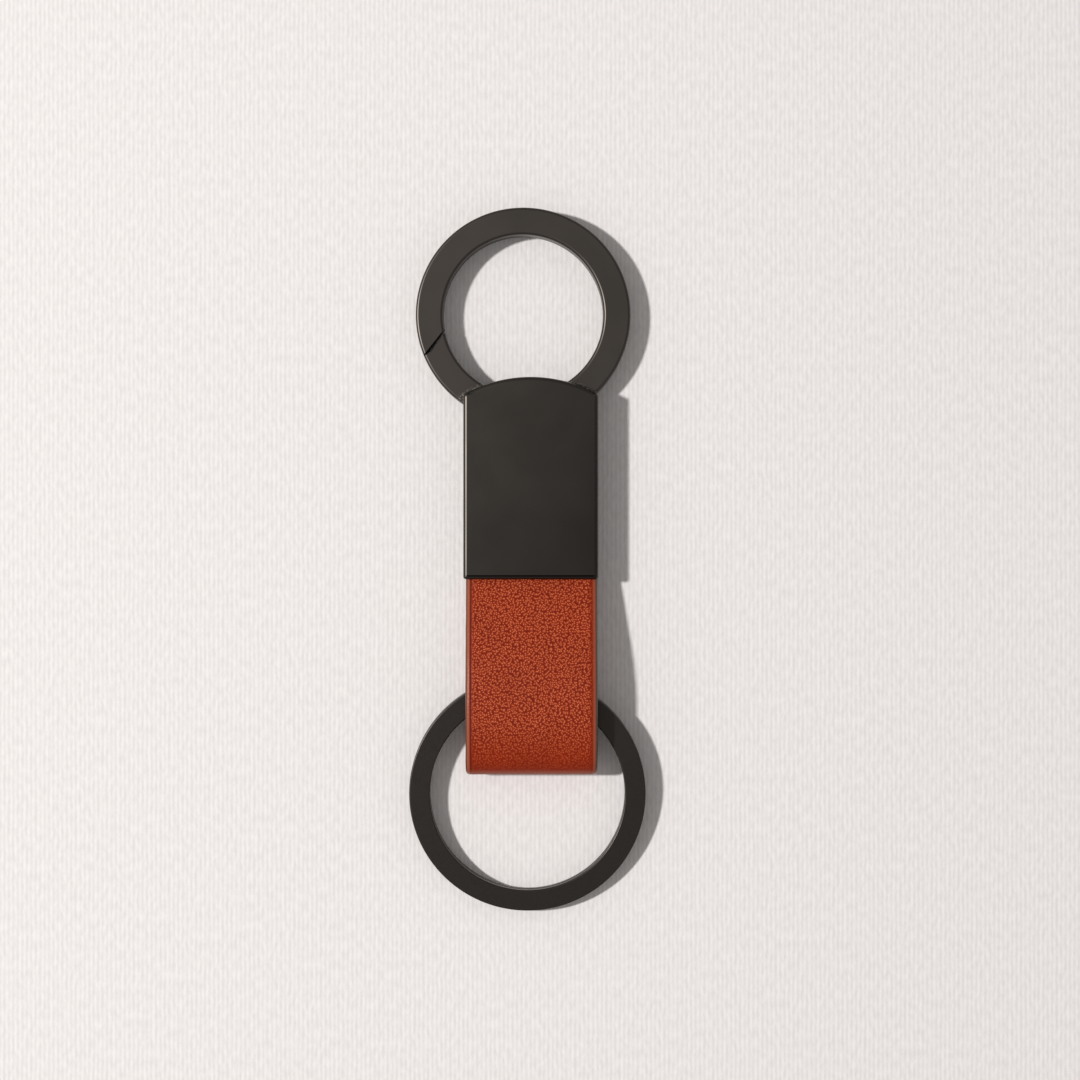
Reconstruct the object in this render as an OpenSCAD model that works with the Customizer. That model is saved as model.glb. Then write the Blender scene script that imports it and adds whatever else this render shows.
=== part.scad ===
// Key fob: a spring-gate hook ring on a flat metal housing, which clamps the two tails of a
// folded leather strap, and a flat split ring that hangs in the strap's loop.
// It lies on its back. X is across, Y runs from the split ring to the hook, and Z = 0 is the back.

/* [Housing] */
// Width of the housing
housing_w = 17; // [16.5:0.1:18]
// Thickness of the housing, from its back to its face
housing_t = 5.5; // [5.4:0.1:6]
// Y of the mouth, where the strap comes out
mouth_y = -2.44; // [-3:0.02:-2]
// Length of the housing, from the mouth to the top of the arch
housing_len = 25.5; // [25:0.1:26]
// Radius of the arched end
arch_r = 17.25; // [16:0.25:20]
// Thickness of the back plate and of the cover's face
face_t = 1.15; // [1.1:0.05:1.2]
// Thickness of the cover's side and end walls
wall_t = 0.9; // [0.8:0.05:1]

/* [Hook ring] */
// Outside diameter of the hook ring
hook_od = 27.2; // [27:0.1:27.6]
// Inside diameter of the hook ring
hook_id = 20.3; // [20:0.1:20.6]
// Thickness of the hook ring
hook_t = 3.64; // [3.5:0.02:3.64]
// X of the hook ring's centre
hook_x = -0.97; // [-1.1:0.01:-0.9]
// Y of the hook ring's centre
hook_y = 31; // [30.9:0.05:31.1]
// Radius on the ring's long edges
hook_edge_r = 0.4; // [0.2:0.05:0.6]

/* [Gate] */
// X of the gate's pin
pin_x = -5.2; // [-5.3:0.05:-5.1]
// Y of the gate's pin
pin_y = 19.2; // [19.1:0.05:19.3]
// Diameter of the gate's pin
pin_d = 1.5; // [1.3:0.1:1.5]
// Diameter of the spring wire
spring_wire = 0.4; // [0.3:0.05:0.4]
// Mean diameter of the spring's coil
spring_coil_d = 2.3; // [2.2:0.05:2.4]
// Turns in the spring's coil
spring_turns = 3; // [2:1:3]

/* [Strap] */
// Width of the strap
strap_w = 16.6; // [16:0.1:16.8]
// Thickness of the leather
leather_t = 1.6; // [1.5:0.05:1.6]
// X of the strap's middle
strap_x = 0.1; // [0:0.05:0.15]
// Length of each tail inside the housing
tail_len = 11; // [9:0.5:12]
// Y of the outside of the fold
fold_y = -27.2; // [-28:0.1:-27]
// Height of the loop's highest point
loop_top_z = 6.95; // [6.8:0.05:7.2]

/* [Split ring] */
// Outside diameter of the split ring
split_od = 30; // [29.8:0.1:30.4]
// Width of the flat wire, seen from above
split_band = 2.64; // [2.4:0.02:2.7]
// Thickness of both turns together
split_t = 2; // [1.8:0.1:2]
// X of the split ring's centre
split_x = -0.43; // [-0.6:0.01:0]
// Y of the split ring's centre
split_y = -29.59; // [-30:0.01:-29.4]
// Height of the split ring's centre
split_z = 2.1; // [2.08:0.01:2.2]
// Tilt of the split ring, with its end in the loop raised
split_tilt = 4.1; // [4:0.1:4.5]

/* [Screws] */
// Diameter of the screws' threads
screw_d = 1.6; // [1.4:0.1:1.6]
// Diameter of the screws' countersunk heads
screw_head_d = 2.8; // [2.6:0.1:3]

/* [Hidden] */
$fn = 96;

metal = [0.20, 0.19, 0.18];
steel = [0.62, 0.62, 0.64];
leather = [0.58, 0.23, 0.12];

slide_gap = 0.1;      // between a moving face and a fixed one
fit_gap = 0.05;       // between two fixed castings
pin_gap = 0.05;       // radial, between the gate's bore and its pin
press_gap = 0.01;     // radial, between the pin and its two seats
past = 1;             // how far a cutter runs past the face it opens

ceiling_z = housing_t - face_t;
arch_top_y = mouth_y + housing_len;
arch_cy = arch_top_y - arch_r;

hook_ro = hook_od / 2;
hook_ri = hook_id / 2;
hook_band = hook_ro - hook_ri;

// The gate meets the fixed arc in a slanting cut. Both cut lines are given from the ring's centre.
arc_end_in = [-10.17, -2.02];
arc_end_out = [-12.4, -4.85];
gate_end_in = [-10, -2.3];
gate_end_kink = [-11.7, -4.75];
gate_end_out = [-12.6, -5.22];
cut_reach = 4;
gate_from = 186;      // the gate's arc runs between these two angles about the ring's centre
gate_to = 244;
arc_from = -64;       // the fixed arc runs from inside the housing, round the top
arc_to = 206;
tang_x = 0.8;         // the thick tang starts here, and fills the housing's right shoulder
tang_y = 13.2;
knuckle_r = 1.7;
knuckle_t = 1.1;
recess_r = 1.95;      // the spring's coil sits in this recess of the gate
step_r = 3.8;         // nearer to the pin than this, the gate is thinned to clear the back plate
gate_room_x = -3.3;   // the cover's opening for the gate ends here
gate_room_y = 18.95;
gate_bottom = 0.1;

pin_bottom = 0.35;
pin_seat = 0.43;      // how deep the pin's upper end sits in the cover
pin_top = ceiling_z + pin_seat;
screw_spots = [[-4.2, 3.2], [4.2, 3.2]];
tang_screw_at = [4.4, 16.4];
boss_r = 1.5;
weld = 0.2;           // how far a boss or the post runs up into the cover's face
screw_bottom = 0.05;
thread_in_face = 0.5; // how far a thread reaches into the cover's face
screw_top = ceiling_z + thread_in_face;
head_cone = 0.6;
sink_gap = 0.01;      // what a screw's head clears at its countersink's rim
socket_d = 1.3;
socket_t = 0.4;
arc_way_from = -70;   // the cover's opening for the fixed arc, as angles about the ring's centre
arc_way_to = -10;

// The spring's wire runs from its leg in the gate, down to the right round the coil, to its leg on
// the cover's post.
gate_thin_z = face_t + slide_gap;
leg_angle = 60;
lower_leg = 2.2;
upper_leg = 4.4;
coil_low_z = gate_thin_z + knuckle_t + slide_gap + spring_wire / 2;
coil_high_z = ceiling_z - slide_gap - spring_wire / 2;
steps_in_turn = 24;
coil_steps = steps_in_turn * spring_turns;
coil_sweep = 360 * spring_turns + leg_angle;
wire_sides = 8;
post_r = 0.7;
post_bottom = 3.2;
post_from_tip = 0.6;  // the leg rests on the post this far from its tip
post_gap = 0.02;

tail_gap = 0.04;      // between the two tails
tail_side_gap = 0.1;  // between a tail and the cover's side wall
bend_z = (face_t + ceiling_z) / 2;
bend_r = (ceiling_z - face_t) / 2;
bend_gap = 0.03;      // radial, between the round bend and the tails it lies against
bend_angle = 16;      // the full-width leather is cut back to clear the mouth over this angle

// The middle of the leather's thickness, from the upper side of the mouth round the fold and back.
// Each stretch is a Bezier curve. Its middle two points pull the leather up over the split ring,
// round the fold, and up from the table to the mouth.
upper_z = bend_z + (leather_t + tail_gap) / 2;
lower_z = bend_z - (leather_t + tail_gap) / 2;
high_z = loop_top_z - leather_t / 2;
flat_z = leather_t / 2;
fold_mid = [fold_y + leather_t / 2, 3.3];
crest = [-18.2, high_z];
over_ring = [[mouth_y, upper_z], [-8.5, 4.8], [-13, high_z], crest];
fold_above = [crest, [-23.2, high_z], [fold_mid[0], 5.6], fold_mid];
fold_below = [fold_mid, [fold_mid[0], 1.6], [-24.9, flat_z], [-22.6, flat_z]];
to_mouth = [[-9.5, flat_z], [-7.4, flat_z], [-4.4, lower_z - 0.35], [mouth_y, lower_z]];
strap_steps = 12;

turn_gap = 0.04;      // between the two turns of the split ring
wire_t = (split_t - turn_gap) / 2;
joggle = 12;          // half of the angle over which the wire steps from one turn to the other
joggle_overlap = 3;   // how far each turn's other end stands clear of the step
joggle_reach = 2;     // how far the step runs on into the turns that it joins
joggle_thin = 0.01;   // how much narrower the step is than the turns
joggle_steps = 12;
arc_fn = 180;         // facets in the large rings
small_fn = 24;        // facets in the small roundings

// ---- helpers ----

function bezier(a, b, c, d, t) =
    pow(1 - t, 3) * a + 3 * pow(1 - t, 2) * t * b + 3 * (1 - t) * t * t * c + pow(t, 3) * d;

function unit(v) = v / norm(v);

// The side direction at each point of an open line
function normals(line) = [
    for (i = [0:len(line) - 1])
        let (d = unit(line[min(i + 1, len(line) - 1)] - line[max(i - 1, 0)])) [-d[1], d[0]]
];

function shifted(line, by) =
    let (n = normals(line)) [for (i = [0:len(line) - 1]) line[i] + by * n[i]];

function reversed(list) = [for (i = [len(list) - 1:-1:0]) list[i]];

// The housing's outline, taken in from its sides and arch
module outline(inset = 0, open_mouth = 0) {
    intersection() {
        translate([-housing_w / 2 + inset, mouth_y - open_mouth])
            square([housing_w - 2 * inset, housing_len + open_mouth + past]);
        translate([0, arch_cy]) circle(r = arch_r - inset, $fn = arc_fn);
    }
}

module rounded_box(w, h, r) {
    translate([r, 0]) square([w - 2 * r, h]);
    translate([0, r]) square([w, h - 2 * r]);
    for (x = [r, w - r], y = [r, h - r]) translate([x, y]) circle(r = r, $fn = small_fn);
}

// What lies on the gate's side of the fixed arc's end face
module beyond_arc_end() {
    d = unit(arc_end_in - arc_end_out);
    side = [d[1], -d[0]];
    a = arc_end_out - cut_reach * d;
    b = arc_end_in + cut_reach * d;
    polygon([a, b, b + cut_reach * side, a + cut_reach * side]);
}

// What lies on the fixed arc's side of the gate's end face
module beyond_gate_end() {
    d = unit(gate_end_in - gate_end_kink);
    e = unit(gate_end_out - gate_end_kink);
    side = [-d[1], d[0]];
    a = gate_end_in + cut_reach * d;
    b = gate_end_kink + cut_reach * e;
    polygon([a, gate_end_kink, b, b + 2 * cut_reach * side, a + 2 * cut_reach * side]);
}

// ---- hook frame: fixed arc, tang and back plate in one casting ----

module countersunk_hole(at) {
    rim_r = screw_head_d / 2 + 2 * fit_gap;
    hole_r = screw_d / 2 + fit_gap;
    translate([at[0], at[1], -past]) cylinder(r = hole_r, h = 2 * past + housing_t);
    translate([at[0], at[1], -sink_gap])
        cylinder(r1 = rim_r, r2 = hole_r, h = head_cone + screw_bottom);
}

module fixed_arc() {
    translate([hook_x, hook_y, 0]) difference() {
        rotate_extrude(angle = arc_to - arc_from, start = arc_from, $fn = arc_fn)
            translate([hook_ri, 0]) rounded_box(hook_band, hook_t, hook_edge_r);
        translate([0, 0, -past]) linear_extrude(hook_t + 2 * past) beyond_arc_end();
    }
}

module hook_frame() {
    color(metal) difference() {
        union() {
            fixed_arc();
            linear_extrude(face_t) outline(inset = wall_t + fit_gap);
            linear_extrude(hook_t) intersection() {
                outline(inset = wall_t + fit_gap);
                translate([tang_x, tang_y]) square(housing_w);
            }
        }
        for (at = screw_spots) countersunk_hole(at);
        countersunk_hole(tang_screw_at);
        translate([pin_x, pin_y, pin_bottom]) cylinder(d = pin_d + 2 * press_gap, h = housing_t);
    }
}

// ---- front cover: face, side walls and arched end wall, with bosses inside ----

module cover_boss(at, from) {
    translate([at[0], at[1], from]) cylinder(r = boss_r, h = ceiling_z + weld - from);
}

module cover_bore(at) {
    translate([at[0], at[1], 0]) cylinder(d = screw_d + 2 * fit_gap, h = screw_top + fit_gap);
}

module front_cover() {
    color(metal) difference() {
        union() {
            difference() {
                linear_extrude(housing_t) outline();
                translate([0, 0, -past]) linear_extrude(ceiling_z + past)
                    outline(inset = wall_t, open_mouth = past);
                // way in for the fixed arc
                translate([hook_x, hook_y, -past])
                    rotate_extrude(angle = arc_way_to - arc_way_from, start = arc_way_from, $fn = arc_fn)
                        translate([hook_ri - fit_gap, 0])
                            square([hook_band + 2 * fit_gap, hook_t + fit_gap + past]);
                // way in for the gate, and its room to swing
                translate([-housing_w, gate_room_y, -past])
                    cube([housing_w + gate_room_x, housing_w, hook_t + slide_gap + past]);
            }
            for (at = screw_spots) cover_boss(at, face_t + fit_gap);
            cover_boss(tang_screw_at, hook_t + fit_gap);
            spring_post();
        }
        for (at = screw_spots) cover_bore(at);
        cover_bore(tang_screw_at);
        translate([pin_x, pin_y, 0]) cylinder(d = pin_d + 2 * press_gap, h = pin_top + press_gap);
    }
}

// ---- gate, its pin and its spring ----

module wedge(from, to, reach) {
    middle = (from + to) / 2;
    polygon(concat([[0, 0]], [for (a = [from, middle, to]) reach * [cos(a), sin(a)]]));
}

module gate_plan() {
    corner = function (r) [hook_x + r * cos(gate_to), hook_y + r * sin(gate_to)];
    translate([hook_x, hook_y]) difference() {
        intersection() {
            circle(r = hook_ro, $fn = arc_fn);
            wedge(gate_from, gate_to, hook_od);
        }
        circle(r = hook_ri, $fn = arc_fn);
        beyond_gate_end();
    }
    polygon([[pin_x, pin_y], corner(hook_ri), corner(hook_ro)]);
    translate([pin_x, pin_y]) circle(r = knuckle_r);
}

module gate() {
    leg_end = spring_path()[0];
    leg_start = spring_path()[1];
    leg = leg_end - leg_start;
    color(metal) difference() {
        union() {
            translate([0, 0, gate_thin_z]) linear_extrude(hook_t - gate_thin_z) gate_plan();
            translate([0, 0, gate_bottom]) linear_extrude(hook_t - gate_bottom) difference() {
                gate_plan();
                translate([pin_x, pin_y]) circle(r = step_r);
            }
        }
        translate([pin_x, pin_y, gate_thin_z + knuckle_t]) cylinder(r = recess_r, h = housing_t);
        translate([pin_x, pin_y, 0]) cylinder(d = pin_d + 2 * pin_gap, h = housing_t);
        // slot for the spring's lower leg
        translate([leg_start[0], leg_start[1], leg_end[2] - spring_wire])
            rotate(atan2(leg[1], leg[0])) translate([0, -spring_wire])
                cube([norm(leg) + spring_wire, 2 * spring_wire, housing_t]);
    }
}

module gate_pin() {
    color(steel) translate([pin_x, pin_y, pin_bottom]) cylinder(d = pin_d, h = pin_top - pin_bottom);
}

function coil_point(t) =
    let (a = leg_angle - coil_sweep * t)
        [pin_x + spring_coil_d / 2 * cos(a), pin_y + spring_coil_d / 2 * sin(a),
         coil_low_z + (coil_high_z - coil_low_z) * t];

function spring_path() = concat(
    [coil_point(0) + lower_leg * [cos(leg_angle + 90), sin(leg_angle + 90), 0]],
    [for (i = [0:coil_steps]) coil_point(i / coil_steps)],
    [coil_point(1) - [0, upper_leg, 0]]
);

function side_ways(path) = [
    for (i = [0:len(path) - 1])
        let (d = unit(path[min(i + 1, len(path) - 1)] - path[max(i - 1, 0)])) unit(cross([0, 0, 1], d))
];

module wire(path, d, sides) {
    n = len(path);
    across = side_ways(path);
    points = [
        for (i = [0:n - 1])
            let (along = unit(path[min(i + 1, n - 1)] - path[max(i - 1, 0)]), up = cross(along, across[i]))
                for (k = [0:sides - 1])
                    path[i] + d / 2 * (cos(360 * k / sides) * across[i] + sin(360 * k / sides) * up)
    ];
    faces = concat(
        [[for (k = [0:sides - 1]) k]],
        [for (i = [0:n - 2], k = [0:sides - 1])
            let (m = (k + 1) % sides)
                [i * sides + k, (i + 1) * sides + k, (i + 1) * sides + m, i * sides + m]],
        [[for (k = [sides - 1:-1:0]) (n - 1) * sides + k]]
    );
    polyhedron(points, faces, convexity = 8);
}

module gate_spring() {
    color(steel) wire(spring_path(), spring_wire, wire_sides);
}

// The cover's post that the spring's upper leg leans on
module spring_post() {
    touch = coil_point(1) - [spring_wire / 2, upper_leg - post_from_tip, 0];
    translate([touch[0] - post_r - post_gap, touch[1], post_bottom])
        cylinder(r = post_r, h = ceiling_z + weld - post_bottom);
}

// ---- strap: two clamped tails, and the free loop that bends up and down at the mouth ----

// Two stretches that meet share a point, so each stretch but the last gives up its end point.
function stretch(p, steps) = [for (i = [0:steps - 1]) bezier(p[0], p[1], p[2], p[3], i / steps)];

strap_centre = concat(
    stretch(over_ring, strap_steps),
    stretch(fold_above, strap_steps),
    stretch(fold_below, strap_steps),
    [fold_below[3]],
    stretch(to_mouth, strap_steps),
    [to_mouth[3]]
);

module side_profile_to_x(width) {
    translate([strap_x - width / 2, 0, 0])
        rotate([90, 0, 90]) linear_extrude(width) children();
}

module tail(low, high) {
    color(leather) difference() {
        translate([-housing_w / 2 + wall_t + tail_side_gap, mouth_y, low])
            cube([housing_w - 2 * (wall_t + tail_side_gap), tail_len, high - low]);
        translate([-housing_w, mouth_y, bend_z]) rotate([0, 90, 0])
            cylinder(r = bend_r + bend_gap, h = 2 * housing_w);
        for (at = screw_spots)
            translate([at[0], at[1], 0]) cylinder(r = boss_r + slide_gap, h = housing_t);
    }
}

module strap_tail_upper() {
    tail(bend_z + tail_gap / 2, ceiling_z - press_gap);
}

module strap_tail_lower() {
    tail(face_t + press_gap, bend_z - tail_gap / 2);
}

// The full-width leather stops short of the mouth by this wedge, so that it clears the side walls
// when the loop bends.
module clear_of_mouth() {
    reach = 2 * housing_len;
    lean = reach * [-sin(bend_angle), cos(bend_angle)];
    middle = [mouth_y, bend_z];
    polygon([middle, middle + lean, middle + [-reach, reach], middle - [reach, reach],
             middle + [lean[0], -lean[1]]]);
}

module strap_loop() {
    knuckle_w = housing_w - 2 * (wall_t + tail_side_gap);
    color(leather) union() {
        side_profile_to_x(strap_w) intersection() {
            polygon(concat(shifted(strap_centre, leather_t / 2),
                           reversed(shifted(strap_centre, -leather_t / 2))));
            clear_of_mouth();
        }
        translate([-knuckle_w / 2, mouth_y, bend_z]) rotate([0, 90, 0])
            cylinder(r = bend_r - bend_gap, h = knuckle_w);
    }
}

// ---- screws ----

module screw(at, top) {
    color(metal) translate([at[0], at[1], screw_bottom]) difference() {
        union() {
            cylinder(d1 = screw_head_d, d2 = screw_d, h = head_cone);
            cylinder(d = screw_d, h = top - screw_bottom);
        }
        translate([0, 0, -past]) cylinder(d = socket_d, h = past + socket_t, $fn = 6);
    }
}

module strap_screw_left() {
    screw(screw_spots[0], screw_top);
}

module strap_screw_right() {
    screw(screw_spots[1], screw_top);
}

module tang_screw() {
    screw(tang_screw_at, screw_top);
}

// ---- split ring: one flat wire, coiled twice, that steps from turn to turn inside the loop ----

module turn(low, from, to) {
    rotate_extrude(angle = to - from, start = from, $fn = arc_fn)
        translate([split_od / 2 - split_band, low]) square([split_band, wire_t]);
}

// The step is a hair narrower than the turns that it joins, so that its faces end inside theirs.
module joggle_step() {
    ri = split_od / 2 - split_band + joggle_thin;
    ro = split_od / 2 - joggle_thin;
    step_t = wire_t - 2 * joggle_thin;
    rise = split_t / 2 + turn_gap / 2;
    reach = joggle + joggle_reach;
    points = [
        for (i = [0:joggle_steps])
            let (
                a = 90 - reach + 2 * reach * i / joggle_steps,
                t = max(0, min(1, (a - 90 + joggle) / (2 * joggle))),
                z = joggle_thin - split_t / 2 + rise * t * t * (3 - 2 * t)
            )
                for (c = [[ri, 0], [ro, 0], [ro, step_t], [ri, step_t]])
                    [c[0] * cos(a), c[0] * sin(a), z + c[1]]
    ];
    faces = concat(
        [[3, 2, 1, 0]],
        [for (i = [0:joggle_steps - 1], k = [0:3])
            let (m = (k + 1) % 4) [4 * i + k, 4 * i + m, 4 * (i + 1) + m, 4 * (i + 1) + k]],
        [[for (k = [0:3]) 4 * joggle_steps + k]]
    );
    polyhedron(points, faces);
}

module split_ring() {
    color(metal) translate([split_x, split_y, split_z]) rotate([split_tilt, 0, 0]) {
        turn(-split_t / 2, 90 + joggle + joggle_overlap, 450 - joggle);
        turn(split_t / 2 - wire_t, 90 + joggle, 450 - joggle - joggle_overlap);
        joggle_step();
    }
}

hook_frame();
front_cover();
gate();
gate_pin();
gate_spring();
strap_tail_upper();
strap_tail_lower();
strap_loop();
strap_screw_left();
strap_screw_right();
tang_screw();
split_ring();
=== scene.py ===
# %% [markdown]
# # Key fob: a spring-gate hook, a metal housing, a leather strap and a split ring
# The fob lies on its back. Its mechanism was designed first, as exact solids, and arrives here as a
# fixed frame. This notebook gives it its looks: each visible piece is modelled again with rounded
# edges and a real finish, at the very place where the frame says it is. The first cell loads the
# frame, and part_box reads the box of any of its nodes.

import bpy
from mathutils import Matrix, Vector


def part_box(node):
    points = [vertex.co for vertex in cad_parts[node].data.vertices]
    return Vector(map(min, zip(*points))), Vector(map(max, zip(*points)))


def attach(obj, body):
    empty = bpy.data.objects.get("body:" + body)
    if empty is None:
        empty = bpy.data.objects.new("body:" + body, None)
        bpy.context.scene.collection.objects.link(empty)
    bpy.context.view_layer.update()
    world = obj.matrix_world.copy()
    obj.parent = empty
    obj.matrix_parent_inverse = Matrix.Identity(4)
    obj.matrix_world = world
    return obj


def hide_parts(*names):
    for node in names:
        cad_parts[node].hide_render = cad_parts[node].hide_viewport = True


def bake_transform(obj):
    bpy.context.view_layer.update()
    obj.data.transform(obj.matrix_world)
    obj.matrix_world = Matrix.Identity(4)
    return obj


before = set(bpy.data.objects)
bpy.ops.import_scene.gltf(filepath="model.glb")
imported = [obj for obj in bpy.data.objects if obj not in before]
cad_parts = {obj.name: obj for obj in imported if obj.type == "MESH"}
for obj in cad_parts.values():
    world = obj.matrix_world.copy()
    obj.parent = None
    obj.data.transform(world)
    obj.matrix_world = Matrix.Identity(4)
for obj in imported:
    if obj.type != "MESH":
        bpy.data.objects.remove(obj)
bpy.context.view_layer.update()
print("nodes:", ", ".join(sorted(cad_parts)))

# %% [markdown]
# Everything is in metres, and a key fob is small, so sizes are written as millimetres times MM.
# Operators act on all that is selected. The loaded nodes are still selected, so the helper that adds
# a primitive deselects everything first, and moves the primitive's place into its mesh, because a
# finished piece's object sits at the origin.

# %% A primitive at its size and place
import math

import bmesh
import bpy
from mathutils import Vector

MM = 0.001


def new_piece(name, add_primitive, stretch=(1, 1, 1), **how):
    """Add a primitive with nothing else selected, name it, and put its place into its mesh."""
    bpy.ops.object.select_all(action="DESELECT")
    add_primitive(**how)
    piece = bpy.context.object
    piece.name = name
    piece.scale = stretch
    bpy.ops.object.transform_apply(location=True, rotation=True, scale=True)
    return piece


print("one millimetre is", MM, "m")

# %% [markdown]
# In edit mode, faces and edges are picked by where they are and which way they point, as one would
# click on them. Both helpers take a test and select what passes it.

# %% Picking faces and edges


def pick_faces(piece, wanted):
    """In edit mode, select the faces for which wanted(middle, normal) is true."""
    bpy.ops.mesh.select_mode(type="FACE")
    bpy.ops.mesh.select_all(action="DESELECT")
    mesh = bmesh.from_edit_mesh(piece.data)
    for face in mesh.faces:
        face.select_set(wanted(face.calc_center_median(), face.normal))
    bmesh.update_edit_mesh(piece.data)


def pick_edges(piece, wanted):
    """In edit mode, select the edges for which wanted(middle, direction) is true."""
    bpy.ops.mesh.select_mode(type="EDGE")
    bpy.ops.mesh.select_all(action="DESELECT")
    mesh = bmesh.from_edit_mesh(piece.data)
    for edge in mesh.edges:
        a, b = (corner.co for corner in edge.verts)
        edge.select_set(bool(wanted((a + b) / 2, (b - a).normalized())))
    bmesh.update_edit_mesh(piece.data)


def round_edges(piece, radius, segments, wanted):
    """Round the edges that pass the test."""
    bpy.context.view_layer.objects.active = piece
    bpy.ops.object.mode_set(mode="EDIT")
    pick_edges(piece, wanted)
    bpy.ops.mesh.bevel(offset=radius, segments=segments, affect="EDGES")
    bpy.ops.object.mode_set(mode="OBJECT")


NEAR = 0.002 * MM
HAIR = NEAR / 20


def near(a, b):
    return abs(a - b) < NEAR


print("faces and edges count as being at a place when they are within", NEAR / MM, "mm of it")

# %% [markdown]
# A piece is cut, bored and joined with Boolean modifiers, as a milling cutter and a weld would. Each
# is applied straight away, and the cutter is thrown away. Booleans leave slivers in flat faces, which
# spoil the shading, so doubles are merged and flat faces dissolved into one. On the small turned
# parts a narrow bevel then takes the sharpness off the hard edges. The castings have no such bevel:
# their large rims are rounded before they are cut, and a bevel's width is held to the shortest edge
# of a mesh, which is next to nothing after many cuts. The faces are shaded smooth except across what
# stays sharp.

# %% Cutting, joining and finishing
FLAT_WITHIN = math.radians(0.3)
HARD_FROM = math.radians(40)
SMOOTH_TO = math.radians(35)


def apply_modifier(piece, kind, **settings):
    """Add a modifier with its settings and apply it."""
    modifier = piece.modifiers.new(kind.lower(), kind)
    for key, value in settings.items():
        setattr(modifier, key, value)
    bpy.ops.object.select_all(action="DESELECT")
    piece.select_set(True)
    bpy.context.view_layer.objects.active = piece
    bpy.ops.object.modifier_apply(modifier=modifier.name)


def combine(piece, other, operation):
    """Cut other out of piece (DIFFERENCE) or weld it on (UNION). The other is used up."""
    apply_modifier(piece, "BOOLEAN", object=other, operation=operation, solver="EXACT")
    bpy.data.objects.remove(other)


def finish_metal(piece, edge, body, slot, material, *nodes):
    """Clean the mesh, bevel its hard edges if edge isn't 0, shade it, and put it in the frame."""
    bpy.context.view_layer.objects.active = piece
    bpy.ops.object.mode_set(mode="EDIT")
    bpy.ops.mesh.select_all(action="SELECT")
    bpy.ops.mesh.remove_doubles(threshold=NEAR / 2)
    bpy.ops.mesh.dissolve_limited(angle_limit=FLAT_WITHIN)
    bpy.ops.object.mode_set(mode="OBJECT")
    if edge:
        apply_modifier(piece, "BEVEL", width=edge, segments=2, limit_method="ANGLE",
                       angle_limit=HARD_FROM, face_strength_mode="FSTR_NEW")
    bpy.ops.object.select_all(action="DESELECT")
    piece.select_set(True)
    bpy.context.view_layer.objects.active = piece
    bpy.ops.object.shade_smooth_by_angle(angle=SMOOTH_TO)
    apply_modifier(piece, "WEIGHTED_NORMAL", keep_sharp=True, use_face_influence=True)
    piece.data.materials.clear()
    piece.data.materials.append(material)
    if body:
        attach(piece, body)
    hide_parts(*nodes)
    print(piece.name, "has", len(piece.data.polygons), "faces")


print("edges count as hard from", round(math.degrees(HARD_FROM)), "degrees")

# %% [markdown]
# Colours are written as sRGB hex, the way a colour picker shows them, and shaders want linear light,
# so one function turns one into the other. One small function adds a shader node with its settings
# and its links, and the materials below are made of calls to it.

# %% Colours and shader nodes


def linear(code, alpha=1.0):
    """The linear colour of an sRGB hex code."""
    channels = [int(code[i:i + 2], 16) / 255 for i in (1, 3, 5)]
    return [c / 12.92 if c <= 0.04045 else ((c + 0.055) / 1.055) ** 2.4 for c in channels] + [alpha]


def add_node(tree, kind, inputs=None, **settings):
    """Add a node. inputs maps a socket to a value or to the output that feeds it."""
    made = tree.nodes.new(kind)
    for key, value in settings.items():
        setattr(made, key, value)
    for socket, value in (inputs or {}).items():
        if isinstance(value, bpy.types.NodeSocket):
            tree.links.new(value, made.inputs[socket])
        else:
            made.inputs[socket].default_value = value
    return made


def start_material(name, colour, metallic, roughness):
    """A material with its base colour, metallic and roughness on the shader's own sockets."""
    material = bpy.data.materials.new(name)
    material.use_nodes = True
    shader = material.node_tree.nodes["Principled BSDF"]
    shader.inputs["Base Color"].default_value = linear(colour)
    shader.inputs["Metallic"].default_value = metallic
    shader.inputs["Roughness"].default_value = roughness
    return material, material.node_tree, shader


print("a mid grey, #808080, is", round(linear("#808080")[0], 3), "in linear light")

# %% [markdown]
# The housing and the hook are zinc castings, tumbled with fine stones and plated with black nickel.
# Tumbling leaves a satin surface with a very fine, uneven tooth, which spreads highlights and keeps
# the faces an even dark grey. The tooth of the real finish is about 0.05 mm, too fine to show here,
# so it is drawn about three times as coarse. The cover's colour is painted darker from its upper left
# to its lower right, which is painted shade, away from the key light at the left. Where the ring goes
# into the housing, a band beside the arch on the ring's top face is painted with pale specks: partly
# scuffed plating, partly painted glints of light reflected there.

# %% Material: satin black nickel on zinc
TOOTH = 0.16 * MM
CLOUD = 6 * MM
# The cover's painted shade: its colour darkens along this way, away from the key light at the left.
SHADE_WAY = (0.9, -0.45, 0)
SHADE_FROM, SHADE_TO = -14 * MM, 8 * MM
# Pale specks beside the arch: partly scuffed plating, partly painted glints of reflected light.
SPECK = 0.22 * MM
SCUFF_AND_GLINT_BAND = 0.5 * MM
SCUFF_AND_GLINT_DOWN = 0.5 * MM
housing_low, housing_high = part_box("front_cover")
ARCH_R = 17.25 * MM
arch_y = housing_high.y - ARCH_R
arch_point = (0, arch_y, 0)
hook_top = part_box("gate")[1].z


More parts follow.
